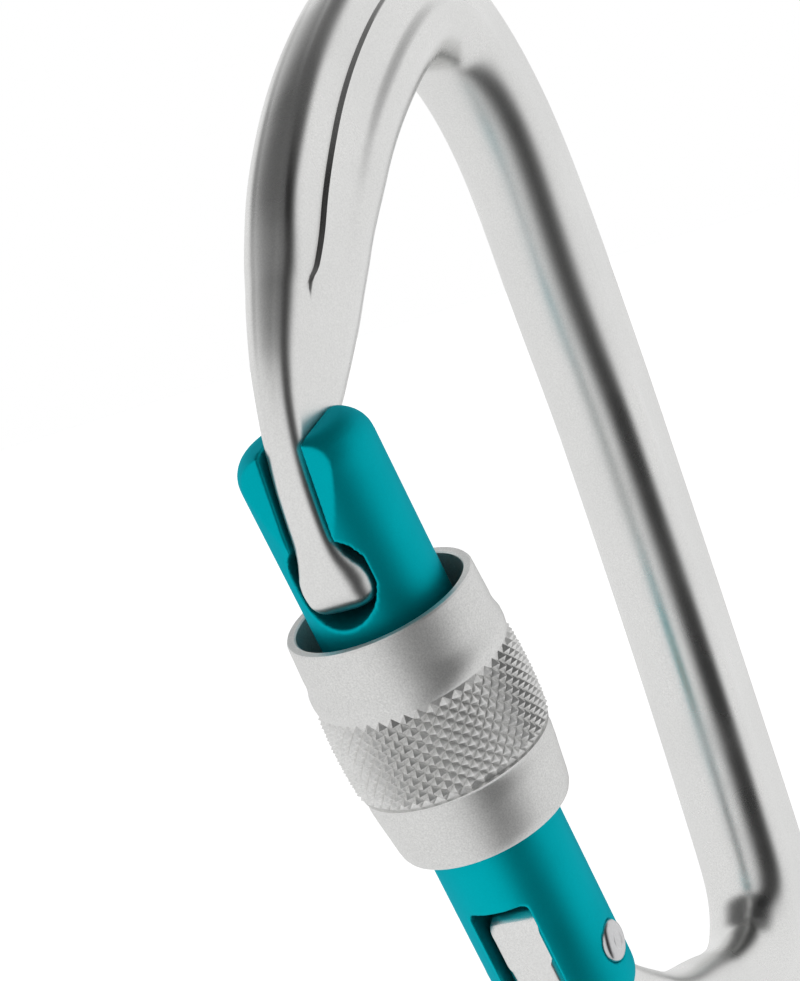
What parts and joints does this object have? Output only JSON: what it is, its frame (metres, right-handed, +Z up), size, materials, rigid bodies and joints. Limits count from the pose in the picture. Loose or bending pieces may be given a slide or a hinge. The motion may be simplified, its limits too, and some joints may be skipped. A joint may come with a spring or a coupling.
{
  "type": "locking carabiner",
  "caption": "D-shaped screw-lock carabiner: forged frame, keylock gate on a rivet with a hidden closing spring, and a knurled locking sleeve.",
  "frame": {"origin": "rope seat at the top of the basket, on the frame's inner face in its middle plane", "axes": "+Z up along the spine, +X from the spine towards the gate, +Y along the hinge rivet"},
  "size_m": [0.0585, 0.0152, 0.0953],
  "materials": {
    "forged_aluminium": "fine bead-blasted, bright",
    "anodised_aluminium": "satin teal anodising",
    "rivet_steel": "formed stainless steel",
    "spring_steel": "drawn spring wire",
    "plunger_brass": "turned brass",
    "blasted_aluminium": "matte blasted, diamond knurl"
  },
  "bodies": {
    "frame": {"frame": "forged_aluminium"},
    "gate": {"gate": "anodised_aluminium", "hinge_rivet": "rivet_steel", "return_spring": "spring_steel"},
    "plunger": {"plunger": "plunger_brass"},
    "sleeve": {"locking_sleeve": "blasted_aluminium"}
  },
  "joints": [
    {"name": "gate_pivot", "type": "hinge", "parent": "frame", "child": "gate", "pos_m": [0.02667, 0, -0.06406], "axis": [0, -1, 0], "range_deg": [0, 45], "stiffness_Nm_per_rad": 0.2, "springref_deg": -45.84},
    {"name": "plunger_slide", "type": "slide", "parent": "gate", "child": "plunger", "axis": [0.2672, 0, 0.9636], "range_m": [0, 0.0026], "deforming": ["return_spring"]},
    {"name": "sleeve_travel", "type": "slide", "parent": "gate", "child": "sleeve", "axis": [0.2672, 0, 0.9636], "range_m": [0, 0.009]}
  ],
  "couplings": [
    {"joint": "plunger_slide", "follows": "gate_pivot", "m_per_rad": 0.00304}
  ]
}
